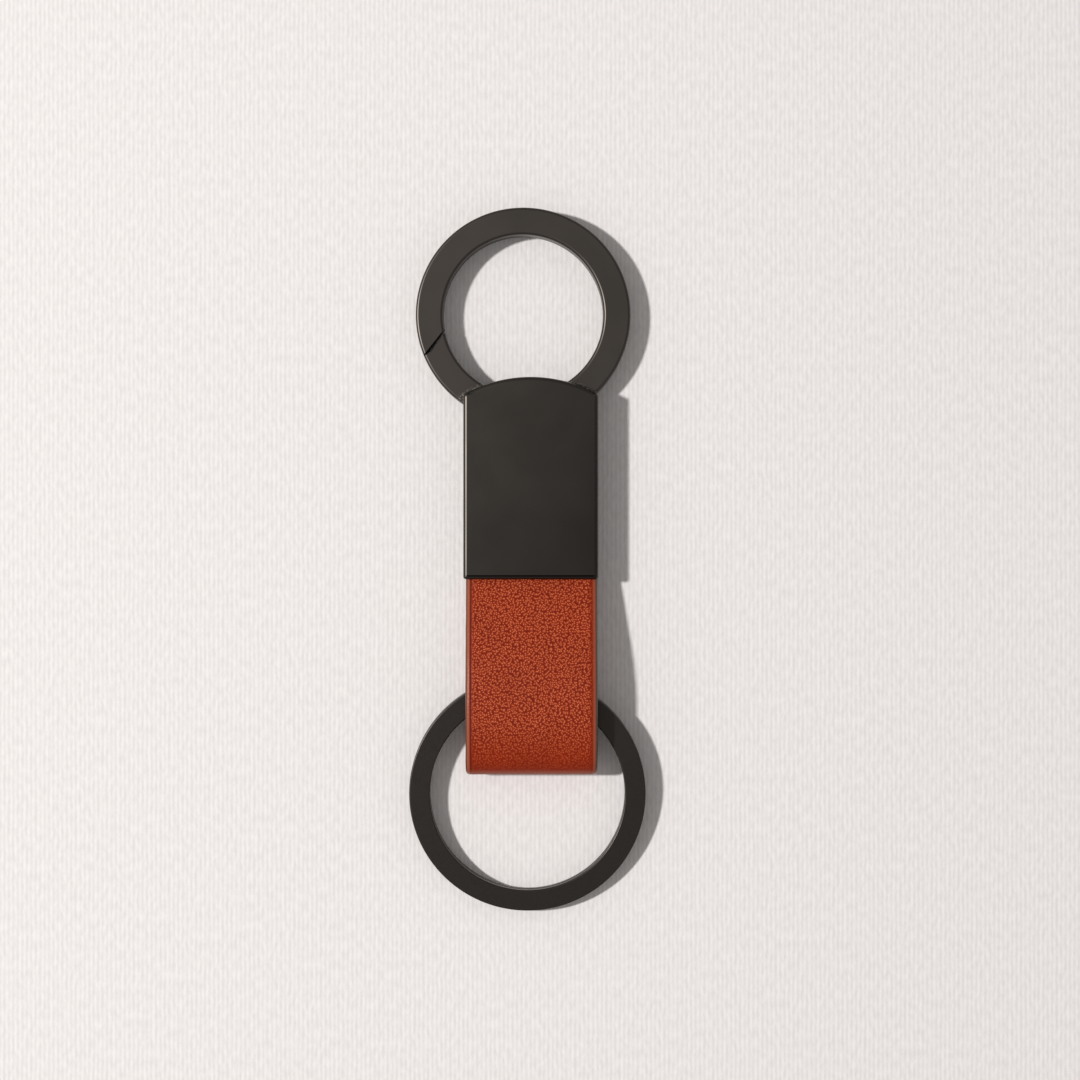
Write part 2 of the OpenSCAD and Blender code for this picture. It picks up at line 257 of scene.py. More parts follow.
def satin_black(name, colour, shaded_colour, roughness, scuffed_and_glinting):
    """Plated zinc whose colour is painted darker towards the second colour as painted shade, with a band of
    pale specks, partly scuffed plating and partly painted glints, if asked.
    """
    material, tree, shader = start_material(name, colour, 1.0, roughness)
    place = add_node(tree, "ShaderNodeTexCoord").outputs["Object"]
    tooth = add_node(tree, "ShaderNodeTexNoise", {"Vector": place, "Scale": 1 / TOOTH, "Detail": 3})
    cloud = add_node(tree, "ShaderNodeTexNoise", {"Vector": place, "Scale": 1 / CLOUD, "Detail": 2})
    dull = add_node(tree, "ShaderNodeMapRange", {
        "Value": cloud.outputs["Fac"], "From Min": 0.3, "From Max": 0.7,
        "To Min": roughness - 0.02, "To Max": roughness + 0.03})
    bump = add_node(tree, "ShaderNodeBump", {
        "Height": tooth.outputs["Fac"], "Strength": 0.25, "Distance": 0.004 * MM})
    tree.links.new(bump.outputs["Normal"], shader.inputs["Normal"])
    tree.links.new(dull.outputs["Result"], shader.inputs["Roughness"])
    # Painted shade: the base colour darkens from the first colour to the second along the way away from the
    # key light.
    along = add_node(tree, "ShaderNodeVectorMath", {0: place, 1: SHADE_WAY}, operation="DOT_PRODUCT")
    share = add_node(tree, "ShaderNodeMapRange", {
        "Value": along.outputs["Value"], "From Min": SHADE_FROM, "From Max": SHADE_TO})
    plating_and_painted_shade = add_node(tree, "ShaderNodeMix", {
        "Factor": share.outputs["Result"], 6: linear(colour), 7: linear(shaded_colour)}, data_type="RGBA")
    tree.links.new(plating_and_painted_shade.outputs[2], shader.inputs["Base Color"])
    # The band of pale specks beside the arch, near the top face: partly scuffed plating, partly painted
    # glints.
    if scuffed_and_glinting:
        flat = add_node(tree, "ShaderNodeVectorMath", {0: place, 1: (1, 1, 0)}, operation="MULTIPLY")
        away = add_node(tree, "ShaderNodeVectorMath",
                        {0: flat.outputs["Vector"], 1: arch_point}, operation="DISTANCE")
        band = add_node(tree, "ShaderNodeMapRange", {
            "Value": away.outputs["Value"], "From Min": ARCH_R, "From Max": ARCH_R + SCUFF_AND_GLINT_BAND,
            "To Min": 1, "To Max": 0})
        speck = add_node(tree, "ShaderNodeTexNoise", {"Vector": place, "Scale": 1 / SPECK, "Detail": 2})
        bright = add_node(tree, "ShaderNodeMapRange", {
            "Value": speck.outputs["Fac"], "From Min": 0.46, "From Max": 0.66})
        height = add_node(tree, "ShaderNodeSeparateXYZ", {"Vector": place})
        near_top = add_node(tree, "ShaderNodeMapRange", {
            "Value": height.outputs["Z"], "From Min": hook_top - SCUFF_AND_GLINT_DOWN,
            "From Max": hook_top - 0.4 * SCUFF_AND_GLINT_DOWN})
        rubbed_and_painted_light = add_node(tree, "ShaderNodeMath", {
            0: band.outputs["Result"], 1: near_top.outputs["Result"]}, operation="MULTIPLY")
        scuff_and_glint = add_node(tree, "ShaderNodeMath", {
            0: rubbed_and_painted_light.outputs["Value"], 1: bright.outputs["Result"]}, operation="MULTIPLY")
        scuff_and_glint_tint = add_node(tree, "ShaderNodeMix", {
            "Factor": scuff_and_glint.outputs["Value"], 6: plating_and_painted_shade.outputs[2], 7: linear("#A79F96")}, data_type="RGBA")
        tree.links.new(scuff_and_glint_tint.outputs[2], shader.inputs["Base Color"])
    return material


# The cover's colour is painted darker towards its lower right as painted shade; the hook has the band of
# pale specks, partly painted glints.
housing_finish = satin_black("satin_black_nickel_cover", "#4D4945", "#3C3835", 0.36, False)
hook_finish = satin_black("satin_black_nickel_hook", "#524D49", "#524D49", 0.40, True)
print("made", housing_finish.name, "and", hook_finish.name)

# %% [markdown]
# The split ring is flat spring steel wire, coated black after coiling. The coat is smoother and
# darker than the plated zinc. The three screws are steel with a black oxide, which is nearly matt, and
# the gate's pin and spring are plain steel, drawn bright.

# %% Materials: black spring steel, black oxide screws and plain steel


def smooth_steel(name, colour, roughness, grain):
    """Steel with a faint mottle of the given grain size."""
    material, tree, shader = start_material(name, colour, 1.0, roughness)
    place = add_node(tree, "ShaderNodeTexCoord").outputs["Object"]
    mottle = add_node(tree, "ShaderNodeTexNoise", {"Vector": place, "Scale": 1 / grain, "Detail": 3})
    dull = add_node(tree, "ShaderNodeMapRange", {
        "Value": mottle.outputs["Fac"], "From Min": 0.3, "From Max": 0.7,
        "To Min": roughness - 0.03, "To Max": roughness + 0.04})
    bump = add_node(tree, "ShaderNodeBump", {
        "Height": mottle.outputs["Fac"], "Strength": 0.15, "Distance": 0.004 * MM})
    tree.links.new(bump.outputs["Normal"], shader.inputs["Normal"])
    tree.links.new(dull.outputs["Result"], shader.inputs["Roughness"])
    return material


ring_finish = smooth_steel("black_coated_spring_steel", "#46413E", 0.36, 0.3 * MM)
screw_finish = smooth_steel("black_oxide_steel", "#3B3835", 0.5, 0.15 * MM)
steel_finish = smooth_steel("drawn_steel", "#A5A6A8", 0.3, 0.2 * MM)
print("made", ring_finish.name, screw_finish.name, steel_finish.name)

# %% [markdown]
# The housing's outline is a rectangle whose upper end is an arch. A cylinder with the arch's radius,
# cut off at both sides and at the mouth, has exactly that outline, and gives the arch enough points
# to look round. The cover, its hollow and the back plate all use this outline, each taken in by its
# own amount, so one function makes them all.

# %% The housing's outline
ARCH_STEPS = 288


def housing_slab(name, inset, low, high, past_mouth=0.0):
    """A slab with the housing's outline, taken in by inset, from height low to high."""
    slab = new_piece(name, bpy.ops.mesh.primitive_cylinder_add, vertices=ARCH_STEPS,
                     radius=ARCH_R - inset, depth=high - low, location=(0, arch_y, (low + high) / 2))
    half = housing_high.x - inset
    bpy.ops.object.mode_set(mode="EDIT")
    for at, outwards in (((-half, 0, 0), (-1, 0, 0)), ((half, 0, 0), (1, 0, 0)),
                         ((0, housing_low.y - past_mouth, 0), (0, -1, 0))):
        bpy.ops.mesh.select_all(action="SELECT")
        bpy.ops.mesh.bisect(plane_co=at, plane_no=outwards, threshold=HAIR,
                            use_fill=True, clear_outer=True)
    bpy.ops.object.mode_set(mode="OBJECT")
    return slab


cover = housing_slab("front_cover_shell", 0, housing_low.z, housing_high.z)
print("the housing is", [round(side / MM, 2) for side in cover.dimensions], "mm")

# %% [markdown]
# The cover's upright corners and the rim of its face are rounded before it is hollowed, while it is
# still a simple block, because a bevel runs cleanly round a shape that has only a few edges. The rim's
# radius sets the width of the thin bright line that the light draws along the left side.

# %% Round the cover's corners and rim
RIM_R = 0.5 * MM
CORNER_R = 0.3 * MM
BACK_R = 0.2 * MM
SIDE_X = housing_high.x
round_edges(cover, CORNER_R, 4, lambda at, way: abs(way.z) > 0.99 and near(abs(at.x), SIDE_X))
round_edges(cover, RIM_R, 6, lambda at, way: near(at.z, housing_high.z))
round_edges(cover, BACK_R, 3, lambda at, way: near(at.z, housing_low.z))
print("the cover has", len(cover.data.polygons), "faces before it is hollowed")

# %% [markdown]
# The cover is a shell: a face and three walls, open at the back and at the mouth. The hollow is the
# same outline, taken in by the wall, and is cut out with a Boolean. Cutting a pocket is how the die
# forms it too, and it keeps the outside untouched.

# %% Hollow the cover
WALL = 0.9 * MM
FACE = 1.15 * MM
PAST = 1 * MM
ceiling = housing_high.z - FACE
hollow = housing_slab("hollow", WALL, -PAST, ceiling, past_mouth=PAST)
combine(cover, hollow, "DIFFERENCE")
print("the cover is open at the mouth up to", round(ceiling / MM, 2), "mm")

# %% [markdown]
# A flat ring is a rectangle with rounded corners, spun about the ring's centre. The rectangle starts
# as a plane that stands on edge, its four corners are rounded with a vertex bevel, and the spin
# operator sweeps it. Spin turns clockwise for a positive angle, so the angle is given as negative,
# and it can turn a shape inside out, so the normals are recalculated. The hook's arc, the gate, the
# split ring and the cutter for the arc's way into the housing are all made like this.

# %% Sweeping a flat ring


def ring_sweep(name, centre, inner, outer, low, high, start, sweep, steps, edge=0.0, edge_steps=5):
    """A rectangular section, inner to outer and low to high, spun from the start angle."""
    first = math.radians(start)
    middle = (inner + outer) / 2
    at = (centre[0] + middle * math.cos(first), centre[1] + middle * math.sin(first), (low + high) / 2)
    ring = new_piece(name, bpy.ops.mesh.primitive_plane_add, (outer - inner, high - low, 1),
                     size=1, location=at, rotation=(math.pi / 2, 0, first))
    bpy.ops.object.mode_set(mode="EDIT")
    bpy.ops.mesh.select_all(action="SELECT")
    if edge:
        bpy.ops.mesh.bevel(affect="VERTICES", offset=edge, segments=edge_steps)
    bpy.ops.mesh.select_all(action="SELECT")
    bpy.ops.mesh.spin(steps=steps, angle=-math.radians(sweep), center=(centre[0], centre[1], 0),
                      axis=(0, 0, 1), use_auto_merge=False)
    bpy.ops.mesh.select_all(action="SELECT")
    bpy.ops.mesh.normals_make_consistent(inside=False)
    bpy.ops.object.mode_set(mode="OBJECT")
    return ring


hook_low, hook_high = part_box("hook_frame")
HOOK_OUTER = (hook_high.x - hook_low.x) / 2
HOOK_INNER = 10.15 * MM
HOOK_T = 3.64 * MM
hook_centre = ((hook_low.x + hook_high.x) / 2, hook_high.y - HOOK_OUTER)
print("the hook's centre is at", [round(value / MM, 2) for value in hook_centre], "mm")

# %% [markdown]
# Straight-sided cutters and webs are drawn as a polygon and pulled up to their height. A circle with
# as many corners as the polygon is the quickest start: its corners are moved to the drawn places,
# and the face is extruded.

# %% Drawing a prism


def prism(name, corners, low, high):
    """A solid with the polygon's corners as its outline, from height low to high."""
    solid = new_piece(name, bpy.ops.mesh.primitive_circle_add, vertices=len(corners), radius=MM,
                      fill_type="NGON")
    bpy.ops.object.mode_set(mode="EDIT")
    mesh = bmesh.from_edit_mesh(solid.data)
    for vertex, corner in zip(mesh.verts, corners):
        vertex.co = (corner[0], corner[1], low)
    bmesh.update_edit_mesh(solid.data)
    bpy.ops.mesh.select_all(action="SELECT")
    bpy.ops.mesh.extrude_region_move(TRANSFORM_OT_translate={"value": (0, 0, high - low)})
    bpy.ops.mesh.select_all(action="SELECT")
    bpy.ops.mesh.normals_make_consistent(inside=False)
    bpy.ops.object.mode_set(mode="OBJECT")
    return solid


def rod(name, at, radius, low, high, steps=48):
    """An upright cylinder, as a cutter or a stem."""
    return new_piece(name, bpy.ops.mesh.primitive_cylinder_add, vertices=steps, radius=radius,
                     depth=high - low, location=(at[0], at[1], (low + high) / 2))


print("prisms and rods are ready")

# %% [markdown]
# Two ways lead into the cover at its arched end. On the right the hook's fixed arc goes in through an
# opening that fits it closely. On the left the gate needs room to swing inwards, so that opening is
# the whole shoulder up to the gate's pin. Both stop below the face, which runs on over them.

# %% Open the cover for the arc and for the gate
FIT = 0.05 * MM
SLIDE = 0.1 * MM
arc_way = ring_sweep("arc_way", hook_centre, HOOK_INNER - FIT, HOOK_OUTER + FIT, -PAST,
                     HOOK_T + FIT, -70, 60, 60)
combine(cover, arc_way, "DIFFERENCE")
GATE_ROOM_X = -3.3 * MM
GATE_ROOM_Y = 18.95 * MM
far = 2 * housing_high.x
gate_way = prism("gate_way", [(-far, GATE_ROOM_Y), (GATE_ROOM_X, GATE_ROOM_Y),
                              (GATE_ROOM_X, GATE_ROOM_Y + far), (-far, GATE_ROOM_Y + far)],
                 -PAST, HOOK_T + SLIDE)
combine(cover, gate_way, "DIFFERENCE")
print("the cover has", len(cover.data.polygons), "faces after its openings are cut")

# %% [markdown]
# Inside, three short bosses hang from the cover's face and take the screws' threads. The two at the
# mouth pass through holes in the leather, which is what really holds the strap. They are rods with a
# bore, welded to the ceiling. The pin's upper end sits in a shallow blind bore in the same ceiling.

# %% Screw bosses and the pin's seat
screw_nodes = {"strap_screw_left": 1.15, "strap_screw_right": 1.15, "tang_screw": 3.64}
BOSS_R = 1.5 * MM
THREAD_R = 0.85 * MM
screw_at = {}
for node, boss_from in screw_nodes.items():
    low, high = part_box(node)
    screw_at[node] = ((low.x + high.x) / 2, (low.y + high.y) / 2)
    boss = rod("boss", screw_at[node], BOSS_R, boss_from * MM + FIT, ceiling + FACE / 4)
    combine(cover, boss, "UNION")
for node, at in screw_at.items():
    bore = rod("bore", at, THREAD_R, -PAST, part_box(node)[1].z + FIT)
    combine(cover, bore, "DIFFERENCE")
pin_low, pin_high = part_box("gate_pin")
pin_at = ((pin_low.x + pin_high.x) / 2, (pin_low.y + pin_high.y) / 2)
PIN_R = (pin_high.x - pin_low.x) / 2
combine(cover, rod("seat", pin_at, PIN_R + FIT / 5, 0, pin_high.z + FIT / 5), "DIFFERENCE")
finish_metal(cover, 0, "housing", "black_zinc", housing_finish, "front_cover")

# %% [markdown]
# The hook's frame is one casting: the fixed arc, a thick tang that fills the housing's right shoulder,
# and the thin back plate that the screws pass through. The arc runs from inside the housing, up the
# right side, over the top and down the left to the gap. There it ends in a slanting cut, which is
# made with a four-sided prism, so that the gate can lap over it.

# %% The hook's fixed arc
ARC_EDGE = 0.38 * MM
ARC_FROM, ARC_SWEEP = -64, 270
ARC_STEPS = 4 * ARC_SWEEP // 5
arc = ring_sweep("hook_frame_casting", hook_centre, HOOK_INNER, HOOK_OUTER, 0, HOOK_T,
                 ARC_FROM, ARC_SWEEP, ARC_STEPS, ARC_EDGE)


def from_hook(x, y):
    """A place in millimetres from the hook's centre, as a place in the frame."""
    return Vector((hook_centre[0] + x * MM, hook_centre[1] + y * MM))


REACH = 4 * MM
arc_in, arc_out = from_hook(-10.17, -2.02), from_hook(-12.4, -4.85)
along = (arc_in - arc_out).normalized()
aside = Vector((along.y, -along.x))
low_end, high_end = arc_out - REACH * along, arc_in + REACH * along
combine(arc, prism("gap", [low_end, high_end, high_end + REACH * aside, low_end + REACH * aside],
                   -PAST, HOOK_T + PAST), "DIFFERENCE")
print("the fixed arc ends at", [round(value / MM, 2) for value in arc_out], "mm")

# %% [markdown]
# The tang and the back plate use the housing's outline again, taken in so that they slip inside the
# cover's walls. They are welded to the arc, and the screw holes with their countersinks and the
# pin's lower seat are cut last, through everything. Two faces in one plane don't weld cleanly, so the
# plate's back lies a hair inside the arc's, and the tang is a hair thinner than the arc.

# %% Tang, back plate and holes
PLATE_INSET = WALL + FIT
PLATE_BACK = 0.03 * MM
TANG_LEFT = 0.8 * MM
TANG_FROM = 13.2 * MM
plate = housing_slab("plate", PLATE_INSET, PLATE_BACK, FACE)
combine(arc, plate, "UNION")
tang = housing_slab("tang", PLATE_INSET + FIT / 5, FACE / 2, HOOK_T - FIT / 5)
bpy.ops.object.mode_set(mode="EDIT")
for at, outwards in (((TANG_LEFT, 0, 0), (-1, 0, 0)), ((0, TANG_FROM, 0), (0, -1, 0))):
    bpy.ops.mesh.select_all(action="SELECT")
    bpy.ops.mesh.bisect(plane_co=at, plane_no=outwards, threshold=HAIR,
                            use_fill=True, clear_outer=True)
bpy.ops.object.mode_set(mode="OBJECT")
combine(arc, tang, "UNION")
HEAD_R = 1.4 * MM
SHANK_R = 0.8 * MM
HEAD_T = 0.65 * MM
for node, at in screw_at.items():
    combine(arc, rod("hole", at, SHANK_R + FIT, -PAST, HOOK_T + PAST), "DIFFERENCE")
    sink = new_piece("sink", bpy.ops.mesh.primitive_cone_add, vertices=48,
                     radius1=HEAD_R + 2 * FIT + PAST, radius2=SHANK_R + FIT, depth=HEAD_T + PAST,
                     location=(*at, (HEAD_T - PAST) / 2 - FIT / 5))
    combine(arc, sink, "DIFFERENCE")
combine(arc, rod("seat", pin_at, PIN_R + FIT / 5, pin_low.z, HOOK_T), "DIFFERENCE")
finish_metal(arc, 0, "housing", "black_zinc", hook_finish, "hook_frame")

# %% [markdown]
# The gate closes the ring. Seen from above it is a sector of the same flat ring, with a web and a
# knuckle that reach in to its pin. Its end follows the slanting cut and then bends outwards in a
# small lip, so its cutter has a corner. Near the pin the gate is thinner, to clear the back plate,
# and a round recess on top holds the spring.

# %% The gate
GATE_BOTTOM = 0.1 * MM
GATE_FROM, GATE_TO = 186, 244
KNUCKLE_R = 1.7 * MM
CLEAR_R = 3.8 * MM
RECESS_R = 1.95 * MM
gate = ring_sweep("gate_arm", hook_centre, HOOK_INNER, HOOK_OUTER, GATE_BOTTOM, HOOK_T,
                  GATE_FROM, GATE_TO - GATE_FROM, GATE_TO - GATE_FROM, ARC_EDGE)
end_in, kink, end_out = from_hook(-10, -2.3), from_hook(-11.7, -4.75), from_hook(-12.6, -5.22)
inwards, outwards = (end_in - kink).normalized(), (end_out - kink).normalized()
aside = Vector((-inwards.y, inwards.x))
high_end, low_end = end_in + REACH * inwards, kink + REACH * outwards
combine(gate, prism("gap", [high_end, kink, low_end, low_end + 2 * REACH * aside,
                            high_end + 2 * REACH * aside], -PAST, HOOK_T + PAST), "DIFFERENCE")
last = math.radians(GATE_TO - 2.5)
web_ends = [from_hook(radius * math.cos(last), radius * math.sin(last)) for radius in (10.6, 13.1)]
combine(gate, prism("web", [pin_at, *web_ends], GATE_BOTTOM, HOOK_T), "UNION")
combine(gate, rod("knuckle", pin_at, KNUCKLE_R, GATE_BOTTOM, HOOK_T), "UNION")
THIN_Z = FACE + SLIDE
RECESS_Z = THIN_Z + 1.1 * MM
combine(gate, rod("clear_of_plate", pin_at, CLEAR_R, -PAST, THIN_Z, 96), "DIFFERENCE")
combine(gate, rod("spring_recess", pin_at, RECESS_R, RECESS_Z, HOOK_T + PAST), "DIFFERENCE")
combine(gate, rod("bore", pin_at, PIN_R + FIT, -PAST, HOOK_T + PAST), "DIFFERENCE")
print("the gate has", len(gate.data.polygons), "faces")

# %% [markdown]
# The spring's lower leg lies in a short slot in the gate, so that the gate turns it. The slot runs
# from the coil up into the web, square to the radius where the leg leaves the coil.

# %% The slot for the spring's leg
LEG_ANGLE = math.radians(60)
COIL_R = 1.15 * MM
WIRE_R = 0.2 * MM
LOWER_LEG = 2.2 * MM
leg_from = Vector(pin_at) + COIL_R * Vector((math.cos(LEG_ANGLE), math.sin(LEG_ANGLE)))
leg_way = Vector((-math.sin(LEG_ANGLE), math.cos(LEG_ANGLE)))
leg_side = 2 * WIRE_R * Vector((leg_way.y, -leg_way.x))
leg_to = leg_from + (LOWER_LEG + 2 * WIRE_R) * leg_way
coil_low = RECESS_Z + SLIDE + WIRE_R
combine(gate, prism("slot", [leg_from - leg_side, leg_to - leg_side, leg_to + leg_side,
                             leg_from + leg_side], coil_low - 2 * WIRE_R, HOOK_T + PAST), "DIFFERENCE")
finish_metal(gate, 0, "gate", "black_zinc", hook_finish, "gate")

# %% [markdown]
# The gate turns on a plain steel pin. It is a short turned rod, and its ends are chamfered so that it
# presses into its seats without shaving them, which is what a bevel of one segment makes.

# %% The gate's pin
PIN_CHAMFER = 0.15 * MM
PIN_EDGE = 0.02 * MM
pin = rod("gate_pin_turned", pin_at, PIN_R, pin_low.z, pin_high.z)
round_edges(pin, PIN_CHAMFER, 1, lambda at, way: near(at.z, pin_low.z) or near(at.z, pin_high.z))
finish_metal(pin, PIN_EDGE, "housing", "plain_steel", steel_finish, "gate_pin")

# %% [markdown]
# The gate's return spring is a torsion spring: three turns of steel wire round the pin, with one leg
# in the gate's slot and the other against a post in the cover. A circle is spun as a flat coil, and
# each step of the spin is then lifted a little more than the last, which pitches the turns. The legs
# are the coil's two end faces, extruded. The gate turns one leg while the cover holds the other.

# %% The gate's spring
TURNS = 3
COIL_STEPS = 40 * TURNS
UPPER_LEG = 4.4 * MM
coil_high = ceiling - SLIDE - WIRE_R
coil_sweep = 2 * math.pi * TURNS + LEG_ANGLE


def lift_along(piece, start, height):
    """Lift a spun section ring by ring, walking along its edges from the cap nearest to start."""
    mesh = bmesh.new()
    mesh.from_mesh(piece.data)
    caps = [face for face in mesh.faces if len(face.verts) > 4]
    ring = set(min(caps, key=lambda cap: (cap.calc_center_median().xy - start).length).verts)
    seen, rings = set(), []
    while ring:
        rings.append(ring)
        seen |= ring
        ring = {corner for old in ring for edge in old.link_edges for corner in edge.verts} - seen
    for step, ring in enumerate(rings):
        for vertex in ring:
            vertex.co.z += height(step / (len(rings) - 1))
    mesh.to_mesh(piece.data)
    mesh.free()
    print(piece.name, "is lifted over", len(rings), "rings")


spring = new_piece("gate_return_spring", bpy.ops.mesh.primitive_circle_add, vertices=12,
                   radius=WIRE_R, fill_type="NGON", location=(*leg_from, coil_low),
                   rotation=(math.pi / 2, 0, LEG_ANGLE))
bpy.ops.object.mode_set(mode="EDIT")
bpy.ops.mesh.select_all(action="SELECT")
bpy.ops.mesh.spin(steps=COIL_STEPS, angle=coil_sweep, center=(*pin_at, 0), axis=(0, 0, 1),
                  use_auto_merge=False)
bpy.ops.mesh.select_all(action="SELECT")
bpy.ops.mesh.normals_make_consistent(inside=False)
bpy.ops.object.mode_set(mode="OBJECT")
lift_along(spring, leg_from, lambda share: (coil_high - coil_low) * share)
bpy.ops.object.mode_set(mode="EDIT")
for is_lower, reach in ((True, LOWER_LEG * leg_way), (False, Vector((0, -UPPER_LEG)))):
    ends = coil_low if is_lower else coil_high
    pick_faces(spring, lambda at, normal: abs(at.z - ends) < WIRE_R / 4 and abs(normal.z) < 0.2
               and normal.xy.normalized().dot(reach.normalized()) > 0.98 and (
                   abs((at.xy - Vector(pin_at)).length - COIL_R) < WIRE_R / 10))
    bpy.ops.mesh.extrude_region_move(TRANSFORM_OT_translate={"value": (reach.x, reach.y, 0)})
bpy.ops.object.mode_set(mode="OBJECT")
finish_metal(spring, 0, None, "plain_steel", steel_finish, "gate_spring")
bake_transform(spring)

# %% [markdown]
# Three countersunk screws come in from the back. Each is a shank with a cone for its head, and a
# hexagonal socket that is cut with a six-sided rod. One is modelled, and the other two are copies of
# it, each with its own mesh, moved to their holes.

# %% The screws
SCREW_BOTTOM = 0.05 * MM
CONE_T = 0.6 * MM
SOCKET_R = 0.65 * MM
SOCKET_DEEP = 0.4 * MM
SCREW_EDGE = 0.04 * MM
screw_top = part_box("tang_screw")[1].z
first_at = screw_at["tang_screw"]
screw = new_piece("tang_screw_turned", bpy.ops.mesh.primitive_cone_add, vertices=48, radius1=HEAD_R,
                  radius2=SHANK_R, depth=CONE_T, location=(*first_at, SCREW_BOTTOM + CONE_T / 2))
combine(screw, rod("shank", first_at, SHANK_R, SCREW_BOTTOM + CONE_T / 2, screw_top), "UNION")
combine(screw, rod("socket", first_at, SOCKET_R, -PAST, SCREW_BOTTOM + SOCKET_DEEP, 6), "DIFFERENCE")
for node, at in screw_at.items():
    piece = screw
    if node != "tang_screw":
        piece = screw.copy()
        piece.data = screw.data.copy()
        bpy.context.collection.objects.link(piece)
        piece.location = (at[0] - first_at[0], at[1] - first_at[1], 0)
        bpy.ops.object.select_all(action="DESELECT")
        piece.select_set(True)
        bpy.context.view_layer.objects.active = piece
        bpy.ops.object.transform_apply(location=True, rotation=True, scale=True)
        piece.name = node + "_turned"
for node in screw_at:
    piece = bpy.data.objects[node + "_turned"]
    finish_metal(piece, SCREW_EDGE, "housing", "black_screw", screw_finish, node)

# %% [markdown]
# A split ring is one flat wire, coiled nearly twice. The two turns lie on each other, and the wire
# steps from the lower turn to the upper one in a short joggle, where a key is started on. The wire's
# section is spun through both turns in one plane, and each step is then lifted by the joggle's
# smooth step, so the ring is truly one wire. The whole ring is tilted, because the leather loop holds
# one side of it up. The joggle is inside the loop, out of sight.

# %% The split ring
split_low, split_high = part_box("split_ring")
SPLIT_OUTER = (split_high.x - split_low.x) / 2
SPLIT_BAND = 2.64 * MM
SPLIT_ROUND = 0.16 * MM
SPLIT_EDGE = 0.03 * MM
WIRE_T = 0.98 * MM
PITCH = 1.02 * MM
SPLIT_TILT = 4.1
JOGGLE = 12
LOWER_FROM, UPPER_TO = 105, 435
split_centre = (split_low + split_high) / 2
joggle_at = 450 - LOWER_FROM
sweep = 360 + UPPER_TO - LOWER_FROM
SPLIT_STEPS = 2 * sweep // 5 * 2
split = ring_sweep("split_ring_wire", split_centre, SPLIT_OUTER - SPLIT_BAND, SPLIT_OUTER,
                   -PITCH / 2 - WIRE_T / 2, -PITCH / 2 + WIRE_T / 2, LOWER_FROM, sweep,
                   SPLIT_STEPS, SPLIT_ROUND, 3)
wire_start = math.radians(LOWER_FROM)
wire_end = split_centre.xy + SPLIT_OUTER * Vector((math.cos(wire_start), math.sin(wire_start)))


def joggle_height(share):
    """How far the wire has risen after this share of the sweep."""
    t = (share * sweep - joggle_at + JOGGLE) / (2 * JOGGLE)
    t = max(0, min(1, t))
    return PITCH * t * t * (3 - 2 * t)


lift_along(split, wire_end, joggle_height)
split.rotation_euler.x = math.radians(SPLIT_TILT)
split.location = (0, split_centre.y * (1 - math.cos(math.radians(SPLIT_TILT))),
                  split_centre.z - split_centre.y * math.sin(math.radians(SPLIT_TILT)))
bpy.ops.object.transform_apply(location=True, rotation=True, scale=True)
finish_metal(split, SPLIT_EDGE, "key_ring", "black_steel", ring_finish, "split_ring")
made_low = [round(min(v.co[i] for v in split.data.vertices) / MM, 2) for i in range(3)]
print("split ring from", made_low, "and the design's", [round(c / MM, 2) for c in split_low])

# %% [markdown]
# ## The leather
# The strap is a strip of vegetable-tanned leather with a fine pebble grain on its outside. A crease
# is pressed beside each edge with a warm iron, and the edges are rounded and painted. The grain's
# pebbles are a little over a quarter of a millimetre. They are a flat Voronoi pattern on the strip's
# own coordinates, which are kept as an attribute before the strip is folded, so the grain follows
# the leather round the fold. It fades towards the edges and where the fold stretches it smooth, and
# comes back on the underside.

# %% Sizes of the strap
strap_low, strap_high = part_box("strap_loop")
STRAP_W = 16.6 * MM
STRAP_T = 1.56 * MM
STRAP_X = (strap_low.x + strap_high.x) / 2
CREASE_IN = 0.66 * MM
mouth_y = housing_low.y
tail_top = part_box("strap_tail_upper")
tail_end = tail_top[1].y
upper_z = (tail_top[0].z + tail_top[1].z) / 2
lower_z = sum(corner.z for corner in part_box("strap_tail_lower")) / 2
half_t = 0.8 * MM
fold_y = strap_low.y + half_t
high_z = strap_high.z - half_t
print("the strap is", round(STRAP_W / MM, 1), "mm wide and reaches", round(tail_end / MM, 2), "mm")

# %% [markdown]
# The strap's path is drawn as a Bezier curve through the middle of its thickness: straight inside the
# housing, rising a little over the split ring, round the fold, flat along the table, and back up
# into the housing. Each point has its two handles, which set how the leather leaves it.

# %% The strap's path
path_points = [
    ((tail_end, upper_z), (tail_end + MM, upper_z), (tail_end - 3 * MM, upper_z)),
    ((mouth_y, upper_z), (mouth_y + 3 * MM, upper_z), (-8.5 * MM, 4.8 * MM)),
    ((-18.2 * MM, high_z), (-13 * MM, high_z), (-23.2 * MM, high_z)),
    ((fold_y, 3.3 * MM), (fold_y, 5.6 * MM), (fold_y, 1.6 * MM)),
    ((-22.6 * MM, half_t), (-24.9 * MM, half_t), (-18.2 * MM, half_t)),
    ((-9.5 * MM, half_t), (-13.9 * MM, half_t), (-7.4 * MM, half_t)),
    ((mouth_y, lower_z), (-4.4 * MM, lower_z - 0.35 * MM), (mouth_y + 3 * MM, lower_z)),
    ((tail_end, lower_z), (tail_end - 3 * MM, lower_z), (tail_end + MM, lower_z)),
]
bpy.ops.object.select_all(action="DESELECT")
bpy.ops.curve.primitive_bezier_curve_add(location=(0, 0, 0))
path = bpy.context.object
path.name = "strap_path"
path.data.resolution_u = 48
path.data.twist_mode = "MINIMUM"
spline = path.data.splines[0]
spline.bezier_points.add(len(path_points) - len(spline.bezier_points))
for point, (at, before, after) in zip(spline.bezier_points, path_points):
    point.handle_left_type = point.handle_right_type = "FREE"
    point.co = (STRAP_X, *at)
    point.handle_left = (STRAP_X, *before)
    point.handle_right = (STRAP_X, *after)
